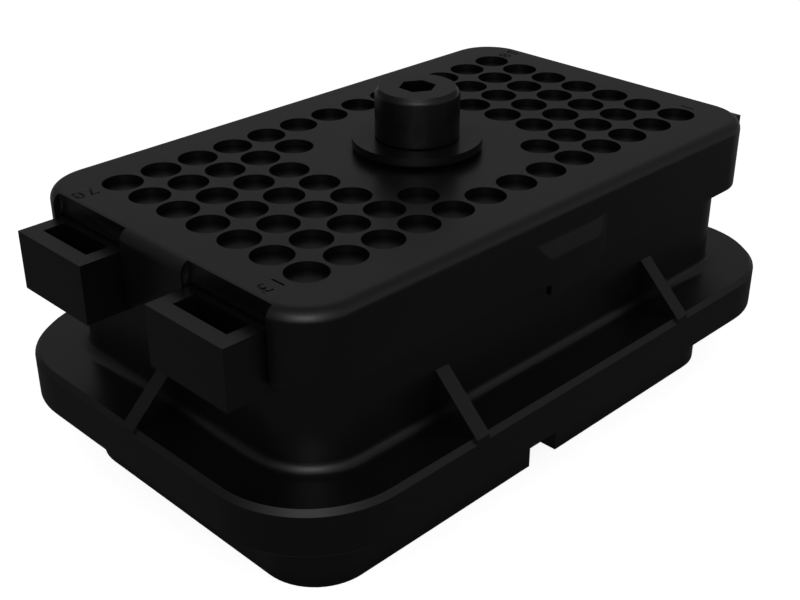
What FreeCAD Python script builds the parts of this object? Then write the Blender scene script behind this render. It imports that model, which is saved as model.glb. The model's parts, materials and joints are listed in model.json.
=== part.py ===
import FreeCAD, Part
import math
import os
import re

import Sketcher

# Rectangular 70-way connector plug, standing on its mating nose with the wire entries up.
# X runs along the long side, Y across it, and Z up. The origin lies under the jackscrew's
# axis, on the plane of the nose's rim. All lengths are millimetres.

doc = FreeCAD.newDocument("ConnectorPlug")

# Driving dimensions: name, value, meaning
SIZES = [
    ("pitch", 5.3, "spacing of the contact cavities"),
    ("columns", 13, "cavities in the two long rows"),
    ("rows", 7, "rows of cavities"),
    ("end_columns", 4, "cavities at each end of the rows between the long ones"),
    ("entry_diameter", 4.75, "wire entry in the rear cover"),
    ("carrier_hole", 2.6, "contact cavity at the mating face"),
    ("shell_length", 76.0, "outline of nose and neck, long way"),
    ("shell_width", 44.1, "outline of nose and neck, short way"),
    ("shell_corner", 7.1, "corner radius of nose and neck"),
    ("shell_height", 32.5, "nose rim to neck top"),
    ("shell_wall", 2.4, "wall of nose and neck"),
    ("lip_width", 0.8, "lip that stops the carrier"),
    ("lip_height", 1.5, "thickness of the lip"),
    ("flange_reach_x", 6.4, "flange beyond the shell at the ends"),
    ("flange_reach_y", 6.25, "flange beyond the shell at the long sides"),
    ("flange_corner", 12.7, "corner radius of the flange"),
    ("flange_bottom", 9.4, "height of the flange's lower edge"),
    ("flange_thickness", 5.75, "flange from lower edge to top"),
    ("flange_edge", 0.6, "bevel of the flange's upper edge"),
    ("flange_foot", 0.3, "bevel of the flange's lower edge"),
    ("flange_fillet", 1.2, "fillet between neck and flange"),
    ("hood_wall", 2.0, "wall of the flange round its groove"),
    ("hood_roof", 2.0, "thickness over the flange's groove"),
    ("keyway_width", 5.0, "polarising slot in the nose"),
    ("keyway_height", 6.5, "height of the polarising slot"),
    ("loop_root", 1.5, "loop's inner wall"),
    ("loop_slot", 2.8, "slot across"),
    ("loop_wall", 2.0, "loop's outer wall"),
    ("loop_end_wall", 1.9, "loop's two end walls"),
    ("loop_slot_length", 8.6, "slot along the short side"),
    ("loop_spacing", 24.0, "between the centres of an end's two loops"),
    ("loop_height", 7.1, "height of a loop"),
    ("rib_thickness", 2.0, "gusset rib"),
    ("rib_spacing", 37.2, "between the two ribs of a long side"),
    ("rib_rise", 6.05, "rib's top over the flange"),
    ("cover_end_wall", 1.35, "cover's skirt at the short ends"),
    ("cover_side_wall", 1.6, "cover's skirt at the long sides"),
    ("cover_gap", 0.15, "cover to neck"),
    ("cover_corner", 6.5, "cover's outer corner radius"),
    ("cover_roof", 2.5, "cover's roof over the neck"),
    ("entry_depth", 1.2, "cover's perforated roof over the wire seal"),
    ("cover_seat", 0.2, "neck top to the underside of that wall"),
    ("cover_height", 8.75, "cover from lower edge to top face"),
    ("cover_round", 1.4, "rounding of the cover's upper edge"),
    ("notch_depth", 1.0, "notch behind a loop, in the cover's end"),
    ("notch_gap", 0.4, "loop's end to the notch's end"),
    ("latch_left", 6.6, "latch pad's left end at the wall, seen from outside"),
    ("latch_right", 7.1, "latch pad's right end at the wall"),
    ("face_left", 3.6, "left end of the latch pad's flat face"),
    ("face_right", 5.0, "right end of that face"),
    ("latch_reach", 0.8, "latch pad's face out of the wall"),
    ("latch_drop", 3.0, "cover's top face to the latch pad's top"),
    ("latch_slope", 2.8, "latch pad's top down to the top of its face"),
    ("latch_hang", 1.25, "tab of the face below the cover's edge"),
    ("tab_thickness", 0.7, "thickness of that tab"),
    ("latch_wall", 0.7, "wall of the latch pad's face"),
    ("latch_sill", 0.6, "sill that catches under the barb"),
    ("barb_rise", 2.2, "height of the shell's barb"),
    ("barb_gap", 0.25, "barb to the latch housing"),
    ("carrier_height", 23.1, "height of the contact carrier"),
    ("insert_gap", 0.1, "carrier and seal to the shell's wall"),
    ("recess_diameter", 13.4, "carrier's recess round the thread"),
    ("recess_depth", 10.5, "depth of that recess"),
    ("rim_seal_height", 1.8, "seal in the flange's groove"),
    ("rim_seal_gap", 0.2, "rim seal to the groove's two walls"),
    ("shank_diameter", 6.0, "jackscrew's shank and thread"),
    ("running_gap", 0.05, "radial clearance round the turning shank"),
    ("head_diameter", 10.3, "jackscrew's head"),
    ("head_height", 6.15, "height of the head"),
    ("head_chamfer_side", 0.5, "head's upper chamfer, across"),
    ("head_chamfer_drop", 0.75, "head's upper chamfer, down"),
    ("head_foot", 0.15, "head's lower chamfer"),
    ("key_size", 4.0, "hexagon socket across flats"),
    ("key_depth", 3.0, "depth of the hexagon socket"),
    ("screw_tip", 1.0, "height of the thread's end over the rim"),
    ("tip_chamfer", 0.8, "chamfer of the thread's end"),
    ("screw_float", 1.5, "how far the captive jackscrew lifts"),
    ("washer_diameter", 15.9, "disc under the head"),
    ("washer_thickness", 1.3, "thickness of the disc"),
    ("washer_gap", 0.2, "disc over the cover's top face"),
    ("washer_seal_diameter", 12.4, "rubber ring under the disc"),
    ("washer_seal_bore", 9.6, "hole of the rubber ring"),
    ("washer_seal_thickness", 0.5, "rubber ring"),
    ("washer_seal_gap", 0.1, "rubber ring to the wall of its recess"),
    ("sleeve_diameter", 9.0, "metal sleeve round the shank"),
    ("sleeve_gap", 0.05, "sleeve in cover, seal and carrier"),
    ("thrust_diameter", 12.0, "thrust washer"),
    ("thrust_thickness", 1.0, "thrust washer"),
    ("clip_diameter", 10.4, "retaining clip"),
    ("clip_thickness", 0.8, "retaining clip"),
    ("clip_mouth", 4.2, "open side of the retaining clip"),
    ("groove_depth", 0.6, "groove for the retaining clip"),
]

NAMES = {name for name, value, meaning in SIZES}

sheet = doc.addObject("Spreadsheet::Sheet", "Sizes")
for number, (name, value, meaning) in enumerate(SIZES, start=1):
    sheet.set("A%d" % number, name)
    sheet.set("B%d" % number, str(value))
    sheet.set("C%d" % number, meaning)
    sheet.setAlias("B%d" % number, name)
doc.recompute()

# Heights and places that several pieces share, worked out from the sizes above
DERIVED = {
    "shell_x": "shell_length / 2",
    "shell_y": "shell_width / 2",
    "bore_x": "shell_length / 2 - shell_wall",
    "bore_y": "shell_width / 2 - shell_wall",
    "bore_corner": "shell_corner - shell_wall",
    "flange_x": "shell_length / 2 + flange_reach_x",
    "flange_y": "shell_width / 2 + flange_reach_y",
    "flange_top": "flange_bottom + flange_thickness",
    "groove_top": "flange_bottom + flange_thickness - hood_roof",
    "cover_x": "shell_length / 2 + cover_gap + cover_end_wall",
    "cover_y": "shell_width / 2 + cover_gap + cover_side_wall",
    "cover_ceiling": "shell_height + cover_seat",
    "cover_top": "shell_height + cover_seat + cover_roof",
    "cover_bottom": "shell_height + cover_seat + cover_roof - cover_height",
    "loop_bottom": "shell_height - loop_height",
    "loop_half": "loop_slot_length / 2 + loop_end_wall",
    "latch_low": "shell_height + cover_seat + cover_roof - cover_height - latch_hang",
    "latch_top": "shell_height + cover_seat + cover_roof - latch_drop",
    "carrier_top": "lip_height + carrier_height",
    "seal_top": "shell_height + cover_seat + cover_roof - entry_depth",
    "recess_top": "lip_height + recess_depth",
    "washer_bottom": "shell_height + cover_seat + cover_roof + washer_gap",
    "head_bottom": "shell_height + cover_seat + cover_roof + washer_gap + washer_thickness",
    "clip_top": "lip_height + recess_depth - screw_float - thrust_thickness",
    "clip_bottom": "lip_height + recess_depth - screw_float - thrust_thickness - clip_thickness",
    "sleeve_hole": "sleeve_diameter / 2 + sleeve_gap",
}


def formula(text):
    """Turn a sum of size names into an expression on the spreadsheet."""
    def name(match):
        word = match.group(0)
        if word in DERIVED:
            return "(" + formula(DERIVED[word]) + ")"
        return "Sizes." + word if word in NAMES else word
    return re.sub(r"[a-z][a-z_]+", name, text)


def bind(thing, path, text):
    """Bind a property to the spreadsheet."""
    thing.setExpression(path, formula(text))


def value_of(text):
    """The present value of a sum of size names."""
    return float(sheet.evalExpression(formula(text)))


def new_body(node):
    """A body whose label is the node's name."""
    body = doc.addObject("PartDesign::Body", node)
    body.Label = node
    return body


def new_sketch(body, role, offset="0"):
    """A sketch on one of the body's own origin planes, moved along the plane's normal."""
    plane = next(p for p in body.Origin.OriginFeatures if p.Role == role)
    drawing = body.newObject("Sketcher::SketchObject", body.Name + "_sketch")
    drawing.AttachmentSupport = [(plane, "")]
    drawing.MapMode = "FlatFace"
    bind(drawing, "AttachmentOffset.Base.z", offset)
    return drawing


def pin_point(drawing, geometry, point, across, up):
    """Hold one sketch point at two distances from the sketch's origin."""
    for kind, text in (("DistanceX", across), ("DistanceY", up)):
        if abs(value_of(text)) < 1e-9:
            axis = -2 if kind == "DistanceX" else -1
            drawing.addConstraint(Sketcher.Constraint("PointOnObject", geometry, point, axis))
            continue
        held = Sketcher.Constraint(kind, -1, 1, geometry, point, value_of(text))
        bind(drawing, "Constraints[%d]" % drawing.addConstraint(held), text)


def polygon(drawing, corners):
    """A closed outline of straight lines through corners given as size sums."""
    places = [FreeCAD.Vector(value_of(x), value_of(y), 0) for x, y in corners]
    first = drawing.GeometryCount
    count = len(corners)
    for k in range(count):
        line = Part.LineSegment(places[k], places[(k + 1) % count])
        drawing.addGeometry(line, False)
    for k in range(count):
        joint = Sketcher.Constraint("Coincident", first + k, 2, first + (k + 1) % count, 1)
        drawing.addConstraint(joint)
    for k, (x, y) in enumerate(corners):
        pin_point(drawing, first + k, 1, x, y)


def rectangle(drawing, x_low, x_high, y_low, y_high):
    """An upright rectangle between four size sums."""
    polygon(drawing, [(x_low, y_low), (x_high, y_low), (x_high, y_high), (x_low, y_high)])


def circle(drawing, x, y, radius):
    """A circle whose centre and radius are size sums."""
    centre = FreeCAD.Vector(value_of(x), value_of(y), 0)
    index = drawing.addGeometry(Part.Circle(centre, FreeCAD.Vector(0, 0, 1), value_of(radius)))
    pin_point(drawing, index, 3, x, y)
    held = drawing.addConstraint(Sketcher.Constraint("Radius", index, value_of(radius)))
    bind(drawing, "Constraints[%d]" % held, radius)


def rounded_rectangle(drawing, half_x, half_y, radius):
    """A rectangle with round corners, centred on the sketch's origin."""
    hx, hy, r = value_of(half_x), value_of(half_y), value_of(radius)
    first = drawing.GeometryCount
    quarter = math.pi / 2
    corners = [(hx - r, hy - r), (r - hx, hy - r), (r - hx, r - hy), (hx - r, r - hy)]
    for k, (x, y) in enumerate(corners):
        ring = Part.Circle(FreeCAD.Vector(x, y, 0), FreeCAD.Vector(0, 0, 1), r)
        drawing.addGeometry(Part.ArcOfCircle(ring, k * quarter, (k + 1) * quarter), False)
    for k in range(4):
        start = drawing.Geometry[first + k].EndPoint
        end = drawing.Geometry[first + (k + 1) % 4].StartPoint
        drawing.addGeometry(Part.LineSegment(start, end), False)
    for k in range(4):
        line = first + 4 + k
        drawing.addConstraint(Sketcher.Constraint("Tangent", first + k, 2, line, 1))
        drawing.addConstraint(Sketcher.Constraint("Tangent", line, 2, first + (k + 1) % 4, 1))
        side = "Horizontal" if k % 2 == 0 else "Vertical"
        drawing.addConstraint(Sketcher.Constraint(side, line))
    for k in range(3):
        drawing.addConstraint(Sketcher.Constraint("Equal", first + k, first + k + 1))
    drawing.addConstraint(Sketcher.Constraint("Symmetric", first, 3, first + 2, 3, -1, 1))
    held = drawing.addConstraint(Sketcher.Constraint("Radius", first, r))
    bind(drawing, "Constraints[%d]" % held, radius)
    held = drawing.addConstraint(Sketcher.Constraint("DistanceX", -1, 1, first, 1, hx))
    bind(drawing, "Constraints[%d]" % held, half_x)
    held = drawing.addConstraint(Sketcher.Constraint("DistanceY", -1, 1, first, 2, hy))
    bind(drawing, "Constraints[%d]" % held, half_y)


def pad(body, drawing, length, both_ways=False):
    """Add material along the sketch's normal."""
    feature = body.newObject("PartDesign::Pad", body.Name + "_pad")
    feature.Profile = drawing
    feature.SideType = "Symmetric" if both_ways else "One side"
    bind(feature, "Length", length)
    drawing.Visibility = False
    doc.recompute()
    return feature


def pocket(body, drawing, length, upward=False, both_ways=False):
    """Take material away, and stop if nothing went."""
    before = body.Shape.Volume
    feature = body.newObject("PartDesign::Pocket", body.Name + "_pocket")
    feature.Profile = drawing
    feature.SideType = "Symmetric" if both_ways else "One side"
    feature.Reversed = upward
    bind(feature, "Length", length)
    drawing.Visibility = False
    doc.recompute()
    if body.Shape.Volume > before - 1e-3:
        raise ValueError("a pocket of %s cut nothing" % body.Label)
    return feature


def mirrored(body, features, role):
    """Repeat features on the other side of one of the body's own planes."""
    plane = next(p for p in body.Origin.OriginFeatures if p.Role == role)
    feature = body.newObject("PartDesign::Mirrored", body.Name + "_mirror")
    feature.Originals = features
    feature.MirrorPlane = (plane, [""])
    body.Tip = feature
    doc.recompute()
    return feature


def pattern(body, features, columns, step_x, rows, step_y):
    """Repeat features on a grid along X and Y."""
    x_axis = next(a for a in body.Origin.OriginFeatures if a.Role == "X_Axis")
    y_axis = next(a for a in body.Origin.OriginFeatures if a.Role == "Y_Axis")
    feature = body.newObject("PartDesign::LinearPattern", body.Name + "_pattern")
    feature.Originals = features
    feature.Refine = False
    feature.Direction = (x_axis, [""])
    feature.Direction2 = (y_axis, [""])
    feature.Mode = "Extent"
    feature.Mode2 = "Extent"
    bind(feature, "Length", "(%s - 1) * (%s)" % (columns, step_x))
    bind(feature, "Occurrences", columns)
    bind(feature, "Length2", "(%s - 1) * (%s)" % (rows, step_y))
    bind(feature, "Occurrences2", rows)
    body.Tip = feature
    doc.recompute()
    return feature


def soften(body, kind, size, wanted):
    """Fillet or chamfer the edges of the body that a test picks out."""
    last = body.Tip
    names = ["Edge%d" % k for k, edge in enumerate(last.Shape.Edges, start=1) if wanted(edge)]
    feature = body.newObject("PartDesign::" + kind, body.Name + "_edge")
    feature.Base = (last, names)
    bind(feature, "Radius" if kind == "Fillet" else "Size", size)
    doc.recompute()
    return feature


def lathe(body, corners):
    """Turn a profile of radius and height round the upright axis."""
    drawing = new_sketch(body, "XZ_Plane")
    polygon(drawing, corners)
    feature = body.newObject("PartDesign::Revolution", body.Name + "_turn")
    feature.Profile = drawing
    feature.ReferenceAxis = (drawing, ["V_Axis"])
    feature.Angle = 360
    drawing.Visibility = False
    doc.recompute()
    return feature


def regular_polygon(drawing, x, y, diameter, sides):
    """A regular polygon whose corners lie on a circle."""
    corners = []
    for k in range(sides):
        turn = (k + 0.5) * 360 / sides
        corners.append(("%s + %s / 2 * cos(%g deg)" % (x, diameter, turn),
                        "%s + %s / 2 * sin(%g deg)" % (y, diameter, turn)))
    polygon(drawing, corners)


def cavity_grid(body, diameter, sides, bottom, height):
    """The 70 holes: two full rows, five short rows at each end and four single ones.
    Each is a regular polygon, because so many true circles make a heavy mesh."""
    first_x = "-(columns - 1) / 2 * pitch"
    first_y = "-(rows - 1) / 2 * pitch"
    # Each block: its first hole, then columns, column step, rows, row step
    blocks = [
        (first_x, first_y, "columns", "pitch", "2", "(rows - 1) * pitch"),
        (first_x, first_y + " + pitch", "end_columns", "pitch", "rows - 2", "pitch"),
        ("((columns + 1) / 2 - end_columns) * pitch", first_y + " + pitch",
         "end_columns", "pitch", "rows - 2", "pitch"),
        (first_x + " + end_columns * pitch", first_y + " + pitch",
         "2", "(columns - 1 - 2 * end_columns) * pitch", "2", "(rows - 3) * pitch"),
    ]
    for x, y, columns, step_x, rows, step_y in blocks:
        drawing = new_sketch(body, "XY_Plane", bottom)
        regular_polygon(drawing, x, y, diameter, sides)
        hole = pocket(body, drawing, height, upward=True)
        pattern(body, [hole], columns, step_x, rows, step_y)


# Shell: nose, flange with its groove, neck, gusset ribs and the four loops
def build_shell():
    body = new_body("shell")

    drawing = new_sketch(body, "XY_Plane")
    rounded_rectangle(drawing, "shell_x", "shell_y", "shell_corner")
    pad(body, drawing, "shell_height")

    drawing = new_sketch(body, "XY_Plane", "flange_bottom")
    rounded_rectangle(drawing, "flange_x", "flange_y", "flange_corner")
    pad(body, drawing, "flange_thickness")

    top, foot = value_of("flange_top"), value_of("flange_bottom")
    limit_x = value_of("shell_x") + value_of("flange_reach_x") / 2
    limit_y = value_of("shell_y") + value_of("flange_reach_y") / 2

    def lies_at(edge, height):
        box = edge.BoundBox
        return abs(box.ZMin - height) < 1e-4 and abs(box.ZMax - height) < 1e-4

    def outside(edge):
        box = edge.BoundBox
        far_x = max(abs(box.XMin), abs(box.XMax))
        far_y = max(abs(box.YMin), abs(box.YMax))
        return far_x > limit_x or far_y > limit_y

    soften(body, "Chamfer", "flange_edge", lambda edge: lies_at(edge, top) and outside(edge))
    soften(body, "Chamfer", "flange_foot", lambda edge: lies_at(edge, foot) and outside(edge))
    soften(body, "Fillet", "flange_fillet",
           lambda edge: lies_at(edge, top) and not outside(edge))

    # Groove under the flange, round the nose
    drawing = new_sketch(body, "XY_Plane", "flange_bottom")
    rounded_rectangle(drawing, "flange_x - hood_wall", "flange_y - hood_wall",
                      "flange_corner - hood_wall")
    rounded_rectangle(drawing, "shell_x", "shell_y", "shell_corner")
    pocket(body, drawing, "flange_thickness - hood_roof", upward=True)

    # Loops: a pair at one short end, each with an upright slot, then mirrored to the other
    drawing = new_sketch(body, "XY_Plane", "loop_bottom")
    root = "shell_x - shell_wall / 2"
    face = "shell_x + loop_root + loop_slot + loop_wall"
    for side in ("-loop_spacing / 2", "loop_spacing / 2"):
        rectangle(drawing, root, face, side + " - loop_half", side + " + loop_half")
        rectangle(drawing, "shell_x + loop_root", "shell_x + loop_root + loop_slot",
                  side + " - loop_slot_length / 2", side + " + loop_slot_length / 2")
    loops = pad(body, drawing, "loop_height")
    mirrored(body, [loops], "YZ_Plane")

    # Gusset ribs: two on each long side and one in the middle of each short end
    rib_profile = [
        ("{0} - shell_wall / 2", "flange_top + rib_rise"),
        ("{0}", "flange_top + rib_rise"),
        ("{1}", "flange_top"),
        ("{1}", "flange_top - flange_edge"),
        ("{0} - shell_wall / 2", "flange_top - flange_edge"),
    ]
    drawing = new_sketch(body, "YZ_Plane", "-rib_spacing / 2")
    polygon(drawing, [(x.format("shell_y", "flange_y"), z) for x, z in rib_profile])
    polygon(drawing, [("-(" + x.format("shell_y", "flange_y") + ")", z) for x, z in rib_profile])
    side_ribs = pad(body, drawing, "rib_thickness", both_ways=True)
    mirrored(body, [side_ribs], "YZ_Plane")
    drawing = new_sketch(body, "XZ_Plane")
    polygon(drawing, [(x.format("shell_x", "flange_x"), z) for x, z in rib_profile])
    end_rib = pad(body, drawing, "rib_thickness", both_ways=True)
    mirrored(body, [end_rib], "YZ_Plane")

    # Barbs that the cover's two latch pads snap over, one on each long side
    drawing = new_sketch(body, "YZ_Plane", "(face_right - face_left) / 2")
    sill = "cover_bottom + latch_sill + barb_gap"
    tip = "cover_y + latch_reach - latch_wall - barb_gap"
    polygon(drawing, [
        ("-(shell_y - shell_wall / 2)", sill),
        ("-(" + tip + ")", sill),
        ("-(" + tip + ")", sill + " + barb_gap"),
        ("-(shell_y)", sill + " + barb_rise"),
        ("-(shell_y - shell_wall / 2)", sill + " + barb_rise"),
    ])
    barb_width = "face_left + face_right - 2 * (latch_wall + barb_gap)"
    front = pad(body, drawing, barb_width, both_ways=True)
    drawing = new_sketch(body, "YZ_Plane", "(face_left - face_right) / 2")
    polygon(drawing, [
        ("shell_y - shell_wall / 2", sill),
        (tip, sill),
        (tip, sill + " + barb_gap"),
        ("shell_y", sill + " + barb_rise"),
        ("shell_y - shell_wall / 2", sill + " + barb_rise"),
    ])
    pad(body, drawing, barb_width, both_ways=True)

    # Inside: open from the top down to the lip, and through the lip
    drawing = new_sketch(body, "XY_Plane", "lip_height")
    rounded_rectangle(drawing, "bore_x", "bore_y", "bore_corner")
    pocket(body, drawing, "shell_height", upward=True)
    drawing = new_sketch(body, "XY_Plane")
    rounded_rectangle(drawing, "bore_x - lip_width", "bore_y - lip_width",
                      "bore_corner - lip_width")
    pocket(body, drawing, "lip_height", upward=True)

    # Polarising keyway through one long wall of the nose
    drawing = new_sketch(body, "XY_Plane")
    rectangle(drawing, "-keyway_width / 2", "keyway_width / 2",
              "-(shell_y + 1)", "-(bore_y - lip_width - 1)")
    pocket(body, drawing, "keyway_height", upward=True)
    return body


# Rear cover: a perforated cap over the neck, with a latch pad on each long side
def build_rear_cover():
    body = new_body("rear_cover")

    drawing = new_sketch(body, "XY_Plane", "cover_bottom")
    rounded_rectangle(drawing, "cover_x", "cover_y", "cover_corner")
    pad(body, drawing, "cover_height")

    top = value_of("cover_top")
    soften(body, "Fillet", "cover_round", lambda edge: abs(edge.BoundBox.ZMin - top) < 1e-4)

    # Latch pads: a flat face with slanting sides, and a thin tab under the face.
    # The one at the back is the front one turned half round.
    for front in (True, False):
        side, turned = ("", "-") if front else ("-", "")
        left, right = side + "(-latch_left)", side + "latch_right"
        face_left, face_right = side + "(-face_left)", side + "face_right"
        root = new_sketch(body, "XZ_Plane", side + "(shell_y + cover_gap)")
        rectangle(root, left, right, "cover_bottom", "latch_top")
        wall = new_sketch(body, "XZ_Plane", side + "cover_y")
        rectangle(wall, left, right, "cover_bottom", "latch_top")
        face = new_sketch(body, "XZ_Plane", side + "(cover_y + latch_reach)")
        rectangle(face, face_left, face_right, "cover_bottom", "latch_top - latch_slope")
        for near, far in ((root, wall), (wall, face)):
            loft = body.newObject("PartDesign::AdditiveLoft", "latch_pad")
            loft.Profile = near
            loft.Sections = [far]
            loft.Ruled = True
            doc.recompute()

        # Tab under the face
        drawing = new_sketch(body, "XY_Plane", "latch_low")
        outer = turned + "(cover_y + latch_reach)"
        inner = turned + "(cover_y + latch_reach - tab_thickness)"
        rectangle(drawing, face_left, face_right, outer, inner)
        pad(body, drawing, "latch_hang + latch_sill")

        # Hollow for the barb, open to the inside of the cover, over a sill
        drawing = new_sketch(body, "XY_Plane", "cover_bottom + latch_sill")
        outer = turned + "(cover_y + latch_reach - latch_wall)"
        rectangle(drawing, side + "(-face_left + latch_wall)", side + "(face_right - latch_wall)",
                  outer, turned + "(shell_y - 1)")
        pocket(body, drawing, "barb_rise + 2 * barb_gap", upward=True)

    # Room for the neck
    drawing = new_sketch(body, "XY_Plane", "cover_ceiling")
    rounded_rectangle(drawing, "shell_x + cover_gap", "shell_y + cover_gap",
                      "shell_corner + cover_gap")
    pocket(body, drawing, "cover_height")

    # Notches round the loops: shallow through the roof, and open to the inside below it
    drawing = new_sketch(body, "XY_Plane", "cover_top")
    deep = new_sketch(body, "XY_Plane", "cover_ceiling")
    for side in ("-loop_spacing / 2", "loop_spacing / 2"):
        low = side + " - loop_half - notch_gap"
        high = side + " + loop_half + notch_gap"
        rectangle(drawing, "cover_x - notch_depth", "cover_x + 1", low, high)
        rectangle(deep, "shell_x - 1", "cover_x + 1", low, high)
    shallow_notch = pocket(body, drawing, "cover_height")
    mirrored(body, [shallow_notch], "YZ_Plane")
    deep_notch = pocket(body, deep, "cover_height")
    mirrored(body, [deep_notch], "YZ_Plane")

    # Seat of the wire seal in the roof, then the wire entries and the sleeve's hole over it
    drawing = new_sketch(body, "XY_Plane", "cover_ceiling")
    rounded_rectangle(drawing, "bore_x", "bore_y", "bore_corner")
    pocket(body, drawing, "cover_roof - entry_depth", upward=True)
    cavity_grid(body, "entry_diameter", 12, "seal_top", "entry_depth")
    drawing = new_sketch(body, "XY_Plane", "seal_top")
    circle(drawing, "0", "0", "sleeve_hole")
    pocket(body, drawing, "entry_depth", upward=True)

    # Recess for the rubber ring under the washer
    drawing = new_sketch(body, "XY_Plane", "cover_top")
    circle(drawing, "0", "0", "washer_seal_diameter / 2 + washer_seal_gap")
    pocket(body, drawing, "washer_seal_thickness - washer_gap")
    return body


# Contact carrier: the block that the contacts clip into, with a recess round the thread
def build_contact_carrier():
    body = new_body("contact_carrier")
    drawing = new_sketch(body, "XY_Plane", "lip_height")
    rounded_rectangle(drawing, "bore_x - insert_gap", "bore_y - insert_gap",
                      "bore_corner - insert_gap")
    pad(body, drawing, "carrier_height")
    drawing = new_sketch(body, "XY_Plane", "lip_height")
    circle(drawing, "0", "0", "recess_diameter / 2")
    pocket(body, drawing, "recess_depth", upward=True)
    drawing = new_sketch(body, "XY_Plane", "lip_height")
    circle(drawing, "0", "0", "sleeve_hole")
    pocket(body, drawing, "carrier_height", upward=True)
    cavity_grid(body, "carrier_hole", 6, "lip_height", "carrier_height")
    return body


# Wire seal: silicone mat between carrier and cover that the contacts pierce on their way in.
# Its upper face is the floor of every empty wire entry.
def build_wire_seal():
    body = new_body("wire_seal")
    drawing = new_sketch(body, "XY_Plane", "carrier_top")
    rounded_rectangle(drawing, "bore_x - insert_gap", "bore_y - insert_gap",
                      "bore_corner - insert_gap")
    pad(body, drawing, "seal_top - carrier_top")
    drawing = new_sketch(body, "XY_Plane", "carrier_top")
    circle(drawing, "0", "0", "sleeve_hole")
    pocket(body, drawing, "seal_top - carrier_top", upward=True)
    return body


# Rim seal: silicone ring at the roof of the flange's groove
def build_rim_seal():
    body = new_body("rim_seal")
    drawing = new_sketch(body, "XY_Plane", "groove_top - rim_seal_height")
    rounded_rectangle(drawing, "flange_x - hood_wall - rim_seal_gap",
                      "flange_y - hood_wall - rim_seal_gap",
                      "flange_corner - hood_wall - rim_seal_gap")
    rounded_rectangle(drawing, "shell_x + rim_seal_gap", "shell_y + rim_seal_gap",
                      "shell_corner + rim_seal_gap")
    pad(body, drawing, "rim_seal_height")
    return body


# Jackscrew: socket head, shank with a clip groove, and the threaded end as a plain rod
def build_jackscrew():
    body = new_body("jackscrew")
    shank = "shank_diameter / 2"
    head = "head_diameter / 2"
    top = "head_bottom + head_height"
    lathe(body, [
        ("0", "screw_tip"),
        (shank + " - tip_chamfer", "screw_tip"),
        (shank, "screw_tip + tip_chamfer"),
        (shank, "clip_bottom"),
        (shank + " - groove_depth", "clip_bottom"),
        (shank + " - groove_depth", "clip_top"),
        (shank, "clip_top"),
        (shank, "head_bottom"),
        (head + " - head_foot", "head_bottom"),
        (head, "head_bottom + head_foot"),
        (head, top + " - head_chamfer_drop"),
        (head + " - head_chamfer_side", top),
        ("0", top),
    ])
    drawing = new_sketch(body, "XY_Plane", top)
    corner = "key_size / 2 / cos(30 deg)"
    half_flat = "key_size / 2 * tan(30 deg)"
    polygon(drawing, [
        ("0", corner),
        ("-key_size / 2", half_flat),
        ("-key_size / 2", "-" + half_flat),
        ("0", "-" + corner),
        ("key_size / 2", "-" + half_flat),
        ("key_size / 2", half_flat),
    ])
    pocket(body, drawing, "key_depth")
    return body


def build_ring(node, inner, outer, bottom, height):
    """A flat ring round the upright axis."""
    body = new_body(node)
    lathe(body, [
        (inner, bottom),
        (outer, bottom),
        (outer, bottom + " + " + height),
        (inner, bottom + " + " + height),
    ])
    return body


# Retaining clip: a flat ring with one side open, pushed into the shank's groove
def build_retaining_clip():
    body = build_ring("retaining_clip", "shank_diameter / 2 - groove_depth",
                      "clip_diameter / 2", "clip_bottom", "clip_thickness")
    drawing = new_sketch(body, "XY_Plane", "clip_top")
    rectangle(drawing, "0", "clip_diameter", "-clip_mouth / 2", "clip_mouth / 2")
    pocket(body, drawing, "clip_thickness")
    return body


shank_hole = "shank_diameter / 2 + running_gap"
parts = [
    build_shell(),
    build_rear_cover(),
    build_contact_carrier(),
    build_wire_seal(),
    build_rim_seal(),
    build_jackscrew(),
    build_ring("screw_washer", shank_hole, "washer_diameter / 2",
               "washer_bottom", "washer_thickness"),
    build_ring("washer_seal", "washer_seal_bore / 2", "washer_seal_diameter / 2",
               "washer_bottom - washer_seal_thickness", "washer_seal_thickness"),
    build_ring("screw_sleeve", shank_hole, "sleeve_diameter / 2",
               "recess_top", "washer_bottom - recess_top"),
    build_ring("thrust_washer", shank_hole, "thrust_diameter / 2",
               "clip_top", "thrust_thickness"),
    build_retaining_clip(),
]

doc.recompute()
for thing in doc.Objects:
    if "Invalid" in thing.State or "Error" in thing.State:
        raise ValueError("%s failed: %s" % (thing.Label, thing.State))
for body in parts:
    if body.Shape.isNull() or not body.Shape.isValid() or len(body.Shape.Solids) != 1:
        raise ValueError("%s has no sound solid" % body.Label)

os.makedirs("parts", exist_ok=True)
for body in parts:
    body.Shape.exportStep("parts/%s.step" % body.Label)
    box = body.Shape.BoundBox
    print("%-16s %9.1f mm3  x %.2f..%.2f  y %.2f..%.2f  z %.2f..%.2f" % (
        body.Label, body.Shape.Volume, box.XMin, box.XMax, box.YMin, box.YMax,
        box.ZMin, box.ZMax))
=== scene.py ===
# %% [markdown]
# # A rectangular multi-way connector plug
# The plug stands on its mating nose, as in the picture: a black moulded shell with a flange, a
# perforated rear cover clipped over it, and a captive jackscrew in the middle. The solids come
# from CAD in the right place and size. Blender adds what CAD leaves coarse (the round wire
# entries, the cut numbers and the screw thread), the finishes, the light and the camera.
#
# The frame is loaded first, because everything else is placed by it.

import json
import math

import bmesh
import bpy
import numpy as np
from mathutils import Matrix, Vector


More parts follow.
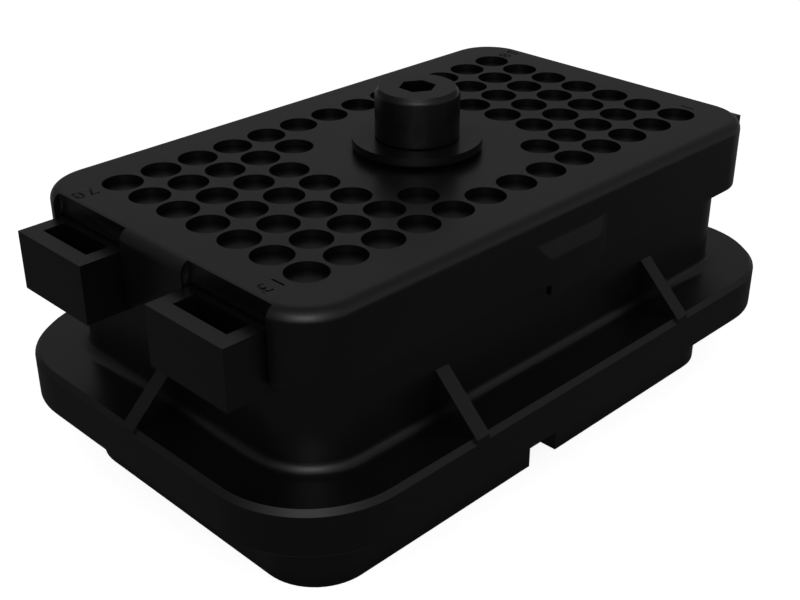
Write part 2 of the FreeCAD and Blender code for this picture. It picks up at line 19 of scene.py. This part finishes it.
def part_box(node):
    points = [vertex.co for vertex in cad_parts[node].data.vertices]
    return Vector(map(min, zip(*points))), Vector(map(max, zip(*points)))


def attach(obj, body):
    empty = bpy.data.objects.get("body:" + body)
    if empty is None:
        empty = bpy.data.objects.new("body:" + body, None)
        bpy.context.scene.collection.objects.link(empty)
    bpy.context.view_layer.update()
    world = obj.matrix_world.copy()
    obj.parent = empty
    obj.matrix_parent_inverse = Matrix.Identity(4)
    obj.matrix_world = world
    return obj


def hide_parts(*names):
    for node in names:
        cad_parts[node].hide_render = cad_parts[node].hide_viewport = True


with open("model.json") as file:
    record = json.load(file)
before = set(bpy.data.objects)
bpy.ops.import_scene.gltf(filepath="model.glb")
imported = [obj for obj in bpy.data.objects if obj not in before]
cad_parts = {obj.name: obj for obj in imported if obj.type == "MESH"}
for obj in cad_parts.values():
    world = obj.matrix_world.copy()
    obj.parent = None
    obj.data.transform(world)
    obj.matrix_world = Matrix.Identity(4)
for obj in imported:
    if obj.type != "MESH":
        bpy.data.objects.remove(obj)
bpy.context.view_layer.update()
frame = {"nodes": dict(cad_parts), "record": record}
MM = 0.001

# %% [markdown]
# ## Colours
# Colours are written as the sRGB hex values that a designer would pick. Blender's shaders want
# linear light, in which a middle grey is only 0.22, so one function turns them.

# %% Hex to linear light
def linear(hex_colour):
    """sRGB hex to a linear RGBA colour."""
    values = [int(hex_colour[k:k + 2], 16) / 255 for k in (1, 3, 5)]
    return tuple(v / 12.92 if v <= 0.04045 else ((v + 0.055) / 1.055) ** 2.4
                 for v in values) + (1.0,)


print("middle grey #808080 is", [round(v, 3) for v in linear("#808080")[:3]], "in linear light")

# %% [markdown]
# ## Shader nodes
# A material could be clicked together in the shader editor. In a script one call for each node,
# with its settings and its links side by side, keeps a material short enough to read from top to
# bottom.

# %% One call for each node
def add_node(material, kind, settings=(), links=()):
    """Add a shader node. A setting is a property name or an input socket with its value;
    a link is an input socket with the output socket that feeds it."""
    tree = material.node_tree
    made = tree.nodes.new("ShaderNode" + kind)
    for name, value in dict(settings).items():
        if isinstance(name, str) and hasattr(made, name):
            setattr(made, name, value)
        else:
            made.inputs[name].default_value = value
    for name, source in dict(links).items():
        tree.links.new(source, made.inputs[name])
    return made


def new_material(name):
    """An empty node material with its output node."""
    material = bpy.data.materials.new(name)
    material.use_nodes = True
    material.node_tree.nodes.clear()
    output = add_node(material, "OutputMaterial")
    return material, output

# %% [markdown]
# ## Camera
# The picture was taken from the plug's front left, looking down at about 28 degrees. A camera
# can be aimed by eye or tracked to a target. Here its place and its three directions were solved
# from the square grid of the 70 wire entries, which is far more exact, so they are written as
# numbers. The same solution gives the focal length in pixels of the picture, which is 800
# pixels wide. Blender wants it in millimetres of a sensor 36 mm wide.

# %% Camera
PICTURE_WIDTH = 800
FOCAL_PIXELS = 1264.89
CAMERA_PLACE = Vector((-103.787, -101.009, 91.810)) * MM
RIGHT = Vector((0.70751, -0.70671, -0.00050))
UP = Vector((0.33514, 0.33492, 0.88063))
FORWARD = Vector((0.62219, 0.62321, -0.47380))

camera_data = bpy.data.cameras.new("picture_camera")
camera_data.sensor_width = 36.0
camera_data.lens = FOCAL_PIXELS / PICTURE_WIDTH * camera_data.sensor_width
camera_data.clip_start = 1 * MM
camera = bpy.data.objects.new("picture_camera", camera_data)
bpy.context.scene.collection.objects.link(camera)
turn = Matrix((RIGHT, UP, -FORWARD)).transposed().to_4x4()
camera.matrix_world = Matrix.Translation(CAMERA_PLACE) @ turn
bpy.context.scene.camera = camera
bpy.context.scene.view_settings.view_transform = "Standard"
print("lens %.2f mm" % camera_data.lens)

# %% [markdown]
# ## Floor and world
# The picture's ground is plain white with no horizon. More light on the floor would make it
# white but would flood the object too. So the floor and the world turn white only for camera,
# glossy and transmission rays, by the Light Path node, and stay plain for all the rest. The
# floor's paint still takes the object's faint shadow.

# %% Floor and world
def white_to_see(tree_owner):
    """A factor of 1 for camera, glossy and transmission rays and 0 for all others."""
    path = add_node(tree_owner, "LightPath")
    eye = add_node(tree_owner, "Math", {"operation": "ADD", "use_clamp": True},
                   {0: path.outputs["Is Camera Ray"], 1: path.outputs["Is Glossy Ray"]})
    every = add_node(tree_owner, "Math", {"operation": "ADD", "use_clamp": True},
                     {0: eye.outputs[0], 1: path.outputs["Is Transmission Ray"]})
    return every.outputs[0]


FLOOR_HALF = 3.0
FLOOR_GLOW = 0.85
floor_paint, floor_output = new_material("pale_floor_paint")
paint = add_node(floor_paint, "BsdfDiffuse", {"Color": linear("#E8E8E8")})
glow_level = add_node(floor_paint, "Math", {"operation": "MULTIPLY", 1: FLOOR_GLOW},
                      {0: white_to_see(floor_paint)})
glow = add_node(floor_paint, "Emission", {"Color": linear("#FFFFFF")},
                {"Strength": glow_level.outputs[0]})
both = add_node(floor_paint, "AddShader", {}, {0: paint.outputs[0], 1: glow.outputs[0]})
floor_paint.node_tree.links.new(both.outputs[0], floor_output.inputs["Surface"])


def flat_square(name, half, height, material):
    """A square sheet that lies level round the origin."""
    mesh = bpy.data.meshes.new(name)
    mesh.from_pydata([(-half, -half, 0), (half, -half, 0), (half, half, 0), (-half, half, 0)],
                     [], [(0, 1, 2, 3)])
    mesh.materials.append(material)
    sheet = bpy.data.objects.new(name, mesh)
    sheet.location.z = height
    bpy.context.scene.collection.objects.link(sheet)
    return sheet


floor = flat_square("floor", FLOOR_HALF, -0.03 * MM, floor_paint)

WORLD_LEVEL = 0.2
world = bpy.data.worlds.new("studio")
world.use_nodes = True
background = world.node_tree.nodes["Background"]
background.inputs["Color"].default_value = linear("#FFFFFF")
level = add_node(world, "MapRange", {"To Min": WORLD_LEVEL, "To Max": 1.0},
                 {"Value": white_to_see(world)})
world.node_tree.links.new(level.outputs["Result"], background.inputs["Strength"])
bpy.context.scene.world = world
print("floor %.0f m wide, world level %.1f" % (2 * FLOOR_HALF, WORLD_LEVEL))

# %% [markdown]
# ## Light tent
# The black walls of the plug show no white floor in them, so something dark stands round it. A
# photographer gets that with a light tent: the camera looks in through a gap, while the plug
# sees only the tent's dim fabric and a dark cloth. Lamps behind the fabric make three soft glows
# on it: a strong one beside the camera, a faint one to the right and one above the back. Each
# could be an area lamp, but a lamp's square edge shows in a satin surface. A glow that falls off
# like a bell has no edge. The camera sees neither the tent nor its cloth.
#
# The fabric is dim at the floor and a little lighter overhead. Each row of the list then adds a
# bell of light: its azimuth and elevation in degrees, its strength and its spread in degrees.
# The last row takes light away, for a fold of the fabric to the left.

# %% Light tent
FABRIC_LOW, FABRIC_HIGH = 0.07, 0.145
GLOWS = [(-136, 29, 1.1, 21), (-60, 15, 0.18, 18), (53, 45, 0.09, 20), (134, 5, -0.035, 30)]


def toward(azimuth, elevation):
    """The unit vector that points away from the plug in a direction given in degrees."""
    a, e = math.radians(azimuth), math.radians(elevation)
    return Vector((math.cos(e) * math.cos(a), math.cos(e) * math.sin(a), math.sin(e)))


fabric, fabric_output = new_material("tent_fabric")
place = add_node(fabric, "TexCoord")
aim = add_node(fabric, "VectorMath", {"operation": "NORMALIZE"}, {0: place.outputs["Object"]})
split = add_node(fabric, "SeparateXYZ", {}, {0: aim.outputs["Vector"]})
total = add_node(fabric, "MapRange", {"From Min": -0.1, "From Max": 0.6, "To Min": FABRIC_LOW,
                                      "To Max": FABRIC_HIGH}, {"Value": split.outputs["Z"]})
total = total.outputs["Result"]
for azimuth, elevation, strength, spread in GLOWS:
    # exp(k (cos(angle) - 1)) falls off like a bell, with k the inverse square of the spread
    k = 1 / math.radians(spread) ** 2
    near = add_node(fabric, "VectorMath", {"operation": "DOT_PRODUCT",
                                           1: toward(azimuth, elevation)},
                    {0: aim.outputs["Vector"]})
    power = add_node(fabric, "Math", {"operation": "MULTIPLY_ADD", 1: k, 2: -k},
                     {0: near.outputs["Value"]})
    bell = add_node(fabric, "Math", {"operation": "EXPONENT"}, {0: power.outputs[0]})
    total = add_node(fabric, "Math", {"operation": "MULTIPLY_ADD", 1: strength},
                     {0: bell.outputs[0], 2: total}).outputs[0]
lit = add_node(fabric, "Emission", {"Color": linear("#FFFFFF")}, {"Strength": total})
fabric.node_tree.links.new(lit.outputs[0], fabric_output.inputs["Surface"])
print("bells of light on the fabric:", len(GLOWS))

# %% [markdown]
# The tent itself is a sphere of fabric round the whole set, and the dark cloth a square sheet
# just over the floor. Both are hidden from the camera and throw no shadow. The cloth is the only
# thing that an upright wall mirrors when it is seen from above, so its level sets how black the
# walls look. Behind the plug it grows paler, so that the plug's back isn't lost in black.

# %% Tent and cloth
TENT_RADIUS = 0.9
CLOTH_HALF = 0.6
CLOTH_LEVEL = 0.044
CLOTH_BEHIND = 0.13
tent_shape = bmesh.new()
bmesh.ops.create_icosphere(tent_shape, subdivisions=3, radius=TENT_RADIUS)
tent_mesh = bpy.data.meshes.new("tent")
tent_shape.to_mesh(tent_mesh)
tent_shape.free()
tent_mesh.materials.append(fabric)
tent = bpy.data.objects.new("tent", tent_mesh)
bpy.context.scene.collection.objects.link(tent)

cloth_finish, cloth_output = new_material("dark_cloth")
spot = add_node(cloth_finish, "TexCoord")
depth_behind = add_node(cloth_finish, "VectorMath", {"operation": "DOT_PRODUCT",
                                                     1: toward(45, 0)},
                        {0: spot.outputs["Object"]})
pale = add_node(cloth_finish, "MapRange", {"From Min": 25 * MM, "From Max": 80 * MM,
                                           "To Min": CLOTH_LEVEL, "To Max": CLOTH_BEHIND},
                {"Value": depth_behind.outputs["Value"]})
weave = add_node(cloth_finish, "Emission", {"Color": linear("#FFFFFF")},
                 {"Strength": pale.outputs["Result"]})
cloth_finish.node_tree.links.new(weave.outputs[0], cloth_output.inputs["Surface"])
cloth = flat_square("cloth", CLOTH_HALF, -0.015 * MM, cloth_finish)

for hidden in (tent, cloth):
    hidden.visible_camera = False
    hidden.visible_shadow = False
    hidden.visible_transmission = False
cloth.visible_diffuse = False
print("tent %.1f m across, cloth %.1f m wide" % (2 * TENT_RADIUS, 2 * CLOTH_HALF))

# %% [markdown]
# ## Lamp
# A tent without any lamp inside gives a flat picture. One weak square lamp beside the camera adds
# direct light from the front. It is broad, so its highlight in the satin surfaces stays soft.

# %% Lamp
def area_lamp(name, azimuth, elevation, distance, size, power):
    """A square soft lamp that faces the plug from a direction given in degrees."""
    data = bpy.data.lights.new(name, "AREA")
    data.size = size
    data.energy = power
    lamp = bpy.data.objects.new(name, data)
    bpy.context.scene.collection.objects.link(lamp)
    away = toward(azimuth, elevation)
    target = Vector((0, 0, 20 * MM))
    lamp.location = target + away * distance
    lamp.rotation_euler = away.to_track_quat("Z", "Y").to_euler()
    return lamp


front = area_lamp("front_lamp", azimuth=-138, elevation=29, distance=0.6, size=0.3, power=0.14)
print("lamp %.2f m wide, %.2f W" % (front.data.size, front.data.energy))

# %% [markdown]
# ## A satin surface
# Every surface of this plug is satin: light leaves it in soft, broad highlights. Two things make
# that on the real object and in the shader. A grain left by the mould or the tool breaks up the
# gloss, which is a fine noise in the bump. Flow in the mould or a coat of uneven thickness makes
# the gloss itself vary, which is a slow noise in the roughness. A third thing is painted shade:
# an ambient occlusion node lowers the reflection in corners and recesses. One function holds
# all three, and each finish sets only what is its own.

# %% Surface finish
PAINTED_SHADE_REACH = 5 * MM   # how far the painted shade in corners reaches
STREAK = 14 * MM   # length of the streaks that flow leaves


def satin(name, colour, ior=1.57, metallic=0.0, low=0.28, high=0.34, grain_mm=0.25,
          depth_mm=0.004):
    """A moulded or coated surface: an uneven gloss, a fine grain and painted shade that dulls the
    reflection in crevices.
    """
    material, output = new_material(name)
    place = add_node(material, "TexCoord")
    # The eroded grain is about 0.03 mm, too fine to show, and drawn eight times coarser
    grain = add_node(material, "TexNoise", {"Scale": 1 / (grain_mm * MM), "Detail": 2.0},
                     {"Vector": place.outputs["Object"]})
    flow = add_node(material, "TexNoise", {"Scale": 1 / STREAK, "Detail": 3.0},
                    {"Vector": place.outputs["Object"]})
    rough = add_node(material, "MapRange", {"From Min": 0.3, "From Max": 0.7,
                                            "To Min": low, "To Max": high},
                     {"Value": flow.outputs["Fac"]})
    bump = add_node(material, "Bump", {"Strength": 0.25, "Distance": depth_mm * MM},
                    {"Height": grain.outputs["Fac"]})
    # Ambient occlusion lowers the specular level in corners and recesses. This is painted shade,
    # on top of the shade that the traced light already gives.
    open_sky = add_node(material, "AmbientOcclusion", {"samples": 4, "Distance": PAINTED_SHADE_REACH})
    painted_shade_shine = add_node(material, "MapRange", {"From Min": 0.25, "From Max": 0.75,
                                            "To Min": 0.12, "To Max": 0.5},
                     {"Value": open_sky.outputs["AO"]})
    settings = {"Base Color": linear(colour), "Metallic": metallic}
    if not metallic:
        settings["IOR"] = ior
    shader = add_node(material, "BsdfPrincipled", settings,
                      {"Roughness": rough.outputs["Result"], "Normal": bump.outputs["Normal"],
                       "Specular IOR Level": painted_shade_shine.outputs["Result"]})
    material.node_tree.links.new(shader.outputs[0], output.inputs["Surface"])
    return material


print("crevices darken within %.0f mm" % (PAINTED_SHADE_REACH / MM))

# %% [markdown]
# ### Glass-filled polyester
# Shell, cover and contact carrier are injection moulded from black polyester with glass fibres.
# The two outer ones come from spark-eroded steel, whose texture and the fibres under the skin
# give the eye an even satin black. The carrier's tool is smoother, so it shines a little more.

# %% Polyester
FINISHES = {}
FINISHES["shell_plastic"] = satin("shell_polyester_spark_eroded", "#0A0A0A")
FINISHES["cover_plastic"] = satin("cover_polyester_spark_eroded", "#0A0A0A")
FINISHES["carrier_plastic"] = satin("carrier_polyester_as_moulded", "#0C0C0C",
                                    low=0.26, high=0.32)
print("polyester #0A0A0A is", round(linear("#0A0A0A")[0], 4), "in linear light")

# %% [markdown]
# ### Silicone rubber
# The seals are moulded silicone. It bends light less than polyester does and its skin is a
# little rougher, so the floors of the wire entries look softer than the cover round them.

# %% Silicone
FINISHES["seal_rubber"] = satin("silicone_rubber_moulded", "#0C0C0C", ior=1.43,
                                low=0.34, high=0.4)

# %% [markdown]
# ### Steel, coated and bare
# The jackscrew and its washer are steel under a thin black coat, so they shine as paint does and
# not as metal: a dark head with a clear rim of light on its chamfer. The captive hardware inside
# is bare stainless steel, turned and not polished. A metal keeps Blender's own IOR, because its
# colour already says how it mirrors. Their grain is finer than the mould's.

# %% Steel
FINISHES["black_steel"] = satin("steel_black_coated", "#0A0A0A", ior=1.49, low=0.26, high=0.3,
                                grain_mm=0.12, depth_mm=0.002)
FINISHES["plain_steel"] = satin("stainless_steel_turned", "#C4C3C0", metallic=1.0,
                                low=0.26, high=0.34, grain_mm=0.1, depth_mm=0.001)
print("finishes:", sorted(FINISHES))

# %% [markdown]
# ### Finishes onto the CAD pieces
# The CAD record names a material slot for each node. The finish of that slot goes on the node,
# so a piece that stays as CAD made it already looks right.

# %% Finish each node
SLOT_OF = {row["node"]: row["material_slot"] for row in frame["record"]["subparts"]}

for node, slot_name in SLOT_OF.items():
    for slot in frame["nodes"][node].material_slots:
        slot.material = FINISHES[slot_name]
print(len(SLOT_OF), "nodes finished")

# %% [markdown]
# ## Pieces that Blender finishes
# CAD leaves a few things coarse. The 70 wire entries and the 70 contact cavities are polygons
# there and round here. The jackscrew's thread is a plain rod there and a real M6 thread here.
# The cavity numbers are cut into the cover's top face here, and the washer's lower edge is
# broken. These pieces could be built anew, but a copy of the CAD solid keeps its place and form
# for certain. The copy then stands for its node, which is hidden.

# %% Copy of a CAD piece
WELD = 0.0005 * MM


def copy_of(node, body):
    """A new piece with a CAD node's form and finish that stands for the node."""
    mesh = frame["nodes"][node].data.copy()
    mesh.materials.clear()
    mesh.materials.append(FINISHES[SLOT_OF[node]])
    piece = bpy.data.objects.new(node + "_finished", mesh)
    bpy.context.scene.collection.objects.link(piece)
    work = bmesh.new()
    work.from_mesh(mesh)
    bmesh.ops.remove_doubles(work, verts=work.verts, dist=WELD)
    work.to_mesh(mesh)
    work.free()
    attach(piece, body)
    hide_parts(node)
    return piece

# %% [markdown]
# ### Cutting and joining
# A drill leaves a round hole and a boolean does the same to a mesh. The exact solver keeps the
# result closed, which the count of open edges shows. The flat faces of a boolean shade badly
# when they are smooth, so edges over 25 degrees turn sharp and the normals follow the large
# faces.

# %% Boolean with clean shading
SHARP = math.radians(25)


def joined(piece, other_shape, operation):
    """Cut a bmesh from a piece or unite it with the piece, then shade flat faces flat."""
    mesh = bpy.data.meshes.new("tool")
    other_shape.to_mesh(mesh)
    other_shape.free()
    tool = bpy.data.objects.new("tool", mesh)
    bpy.context.scene.collection.objects.link(tool)
    step = piece.modifiers.new("step", "BOOLEAN")
    step.operation = operation
    step.object = tool
    step.solver = "EXACT"
    graph = bpy.context.evaluated_depsgraph_get()
    made = bpy.data.meshes.new_from_object(piece.evaluated_get(graph))
    piece.modifiers.clear()
    bpy.data.objects.remove(tool)
    old, piece.data = piece.data, made
    made.materials.clear()
    made.materials.append(old.materials[0])
    made.shade_smooth()
    made.set_sharp_from_angle(angle=SHARP)
    even = piece.modifiers.new("even", "WEIGHTED_NORMAL")
    even.keep_sharp = True
    graph = bpy.context.evaluated_depsgraph_get()
    piece.data = bpy.data.meshes.new_from_object(piece.evaluated_get(graph))
    piece.modifiers.clear()
    check = bmesh.new()
    check.from_mesh(piece.data)
    loose = sum(1 for edge in check.edges if len(edge.link_faces) != 2)
    print("%s: %d faces, %d open edges" % (piece.name, len(check.faces), loose))
    check.free()

# %% [markdown]
# ### Where the cavities are
# The 70 cavities stand on one square grid of 13 columns and 7 rows. The grid's middle is left
# out for the jackscrew. Writing the rule is shorter and safer than a list of 70 places.

# %% The grid of cavities
PITCH = 5.3 * MM
COLUMNS, ROWS = 13, 7
CAVITIES = []
for row in range(ROWS):
    for column in range(COLUMNS):
        end_block = column < 4 or column > 8
        inner_corner = column in (4, 8) and row in (1, 5)
        if row in (0, ROWS - 1) or end_block or inner_corner:
            CAVITIES.append(((column - (COLUMNS - 1) / 2) * PITCH, (row - (ROWS - 1) / 2) * PITCH))
print(len(CAVITIES), "cavities")

# %% [markdown]
# ### One round bar for each cavity
# The same set of bars cuts the cover and the carrier and makes the seal's pads. One shape with
# 70 bars needs one boolean, where 70 shapes would need 70. A bar that cuts goes a little past
# the faces, so that no two faces lie in one plane.

# %% Bars for all cavities
PAST = 0.1 * MM


def drills(radius, sides, low, high):
    """One round bar for each cavity, as one shape."""
    shape = bmesh.new()
    for x, y in CAVITIES:
        place = Matrix.Translation((x, y, (low + high) / 2))
        bmesh.ops.create_cone(shape, cap_ends=True, segments=sides, radius1=radius,
                              radius2=radius, depth=high - low, matrix=place)
    return shape

# %% [markdown]
# ### Rear cover
# The tool's core pins leave straight round entries of 4.75 mm in the cover. CAD draws them with
# twelve sides to stay light. A round bar a hair larger than each polygon cuts it true.

# %% Round wire entries
ENTRY_RADIUS = 2.38 * MM
cover = copy_of("rear_cover", "plug")
cover_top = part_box("rear_cover")[1].z
seal_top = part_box("wire_seal")[1].z
cutters = drills(ENTRY_RADIUS, 64, seal_top - PAST, cover_top + PAST)
print("entries %.2f mm wide in a roof %.2f mm thick"
      % (2 * ENTRY_RADIUS / MM, (cover_top - seal_top) / MM))

# %% [markdown]
# ### Cavity numbers
# The numbers of the four corner cavities help the person who wires the plug. They are cut a
# little into the face, in plain thin strokes 1.9 mm high, and are read from the plug's other
# long side. A bump map could fake them, but real cuts also show in the exported mesh. Blender's
# own font gives the strokes, and its outlines join the round bars, so that one boolean cuts all.

# %% Cut numbers
NUMBER_HEIGHT = 1.9 * MM
NUMBER_DEPTH = 0.12 * MM
# Each number with the middle of its place in mm
NUMBERS = [("1", 35.1, -15.4), ("13", -36.25, -15.6), ("58", 36.1, 16.35), ("70", -36.6, 16.2)]

for words, x, y in NUMBERS:
    curve = bpy.data.curves.new("number", "FONT")
    curve.body = words
    curve.size = 2.5 * MM
    curve.space_character = 1.25
    curve.extrude = NUMBER_DEPTH
    drawn = bpy.data.objects.new("number", curve)
    bpy.context.scene.collection.objects.link(drawn)
    bpy.context.view_layer.update()
    strokes = bpy.data.meshes.new_from_object(
        drawn.evaluated_get(bpy.context.evaluated_depsgraph_get()))
    corners = np.array([v.co for v in strokes.vertices])
    middle = Vector((corners.min(0) + corners.max(0)) / 2)
    grow = NUMBER_HEIGHT / np.ptp(corners[:, 1])
    strokes.transform(Matrix.Translation((x * MM, y * MM, cover_top))
                      @ Matrix.Rotation(math.pi, 4, "Z")
                      @ Matrix.Diagonal((grow, grow, 1, 1)) @ Matrix.Translation(-middle))
    cutters.from_mesh(strokes)
    bpy.data.objects.remove(drawn)
    print("number %s: drawn %.2f times larger" % (words, grow))
bmesh.ops.remove_doubles(cutters, verts=cutters.verts, dist=WELD)
joined(cover, cutters, "DIFFERENCE")

# %% [markdown]
# ### Wire seal
# The cover presses on the silicone mat, which rises a little into each open entry. Each entry's
# floor therefore lies 0.95 mm under the cover's top face, as the photo's reflections show. The
# bulge is low and flat, so a plain round pad in each entry says enough.

# %% Seal with a low pad in each entry
PAD_RISE = 0.25 * MM
PAD_RADIUS = 2.34 * MM
seal = copy_of("wire_seal", "plug")
pads = drills(PAD_RADIUS, 48, seal_top - 2 * PAST, seal_top + PAD_RISE)
joined(seal, pads, "UNION")
print("entry floor %.2f mm deep" % ((cover_top - seal_top - PAD_RISE) / MM))

# %% [markdown]
# ### Contact carrier
# The contacts' cavities come out at the mating face as round holes of 2.6 mm. They are seen only
# from below, so 24 sides make them round enough. The same bars as in the cover cut them.

# %% Round contact cavities
CONTACT_RADIUS = 1.32 * MM
carrier = copy_of("contact_carrier", "plug")
low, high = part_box("contact_carrier")
joined(carrier, drills(CONTACT_RADIUS, 24, low.z - PAST, high.z + PAST), "DIFFERENCE")

# %% [markdown]
# ### Washer under the head
# The disc is turned and its lower edge is broken. In the photo its rim grows narrow at the left
# and right ends, where the edge is seen from the side. Only that one ring of edges is bevelled:
# the flat triangles are joined first, because a bevel follows whole faces best.

# %% Washer with a broken lower edge
BROKEN_EDGE = 0.4 * MM
washer = copy_of("screw_washer", "floating_washer")
washer_low, washer_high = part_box("screw_washer")
disc = bmesh.new()
disc.from_mesh(washer.data)
bmesh.ops.dissolve_limit(disc, angle_limit=math.radians(0.5), verts=disc.verts, edges=disc.edges)
rim = [edge for edge in disc.edges if edge.calc_face_angle(0) > 1
       and all(v.co.z < washer_low.z + 0.01 * MM and v.co.xy.length > washer_high.x - 0.1 * MM
               for v in edge.verts)]
bmesh.ops.bevel(disc, geom=rim, offset=BROKEN_EDGE, segments=3, profile=0.5, affect="EDGES")
disc.to_mesh(washer.data)
washer.data.shade_smooth()
washer.data.set_sharp_from_angle(angle=SHARP)
print("washer: %d rim edges broken, %d faces, %d open edges" % (
    len(rim), len(disc.faces), sum(1 for edge in disc.edges if len(edge.link_faces) != 2)))
disc.free()

# %% [markdown]
# ### Jackscrew
# The head, the plain shank and the clip's groove come from CAD. The threaded end is cut off in
# the groove, inside the clip, and a rolled M6 x 1 thread takes its place. A thread can be swept
# along a helix, but its ends are then hard to close. Here it is a height field round the axis:
# the radius at each point follows the thread's own profile, which climbs one pitch in each turn,
# and it runs out into the shank and into the chamfer of the tip by itself.

# %% Thread
PROFILE_DEPTH = 0.6134  # depth of a metric thread, in pitches
CREST = 0.125           # width of its flat crest, in pitches
AROUND = 60             # points round the axis
PER_TURN = 16           # rings in one pitch


def ring_of(shape, z, radii):
    """A level ring of points round the axis, one for each radius."""
    points = []
    for k, r in enumerate(radii):
        a = 2 * math.pi * k / len(radii)
        points.append(shape.verts.new((r * math.cos(a), r * math.sin(a), z)))
    return points


def thread(bottom, shoulder, top, radius, neck, pitch, chamfer):
    """A solid threaded rod that narrows to a neck above its shoulder."""
    depth = PROFILE_DEPTH * pitch
    heights = [bottom + k * pitch / PER_TURN
               for k in range(int((shoulder - bottom) / pitch * PER_TURN))] + [shoulder]
    shape = bmesh.new()
    rings = []
    for z in heights:
        radii = []
        for k in range(AROUND):
            phase = ((z - bottom) / pitch - k / AROUND) % 1.0
            flank = min(max((abs(phase - 0.5) * 2 - CREST) / (1 - 2 * CREST), 0.0), 1.0)
            r = min(radius - depth * (1 - flank), radius - chamfer + (z - bottom))
            runout = min(max((shoulder - z) / pitch, 0.0), 1.0)
            radii.append(radius - (radius - r) * runout)
        rings.append(ring_of(shape, z, radii))
    for z in (shoulder, top):
        rings.append(ring_of(shape, z, [neck] * AROUND))
    for lower, upper in zip(rings, rings[1:]):
        for k in range(AROUND):
            n = (k + 1) % AROUND
            shape.faces.new((lower[k], lower[n], upper[n], upper[k]))
    shape.faces.new(list(reversed(rings[0])))
    shape.faces.new(rings[-1])
    return shape

# %% [markdown]
# The upper part of the copied screw is closed where it was cut. The thread's neck reaches a
# little into it, and a union makes both one solid.

# %% Screw with its thread
screw = copy_of("jackscrew", "screw")
clip_low, clip_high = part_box("retaining_clip")
cut_height = (clip_low.z + clip_high.z) / 2
upper = bmesh.new()
upper.from_mesh(screw.data)
bmesh.ops.bisect_plane(upper, geom=upper.verts[:] + upper.edges[:] + upper.faces[:],
                       plane_co=(0, 0, cut_height), plane_no=(0, 0, 1), clear_inner=True)
bmesh.ops.holes_fill(upper, edges=[edge for edge in upper.edges if edge.is_boundary])
upper.to_mesh(screw.data)
upper.free()
screw_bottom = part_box("jackscrew")[0].z
rod = thread(screw_bottom, clip_low.z, cut_height + PAST, radius=3.0 * MM, neck=2.38 * MM,
             pitch=1.0 * MM, chamfer=0.6 * MM)
joined(screw, rod, "UNION")
print("thread %.2f mm long" % ((clip_low.z - screw_bottom) / MM))
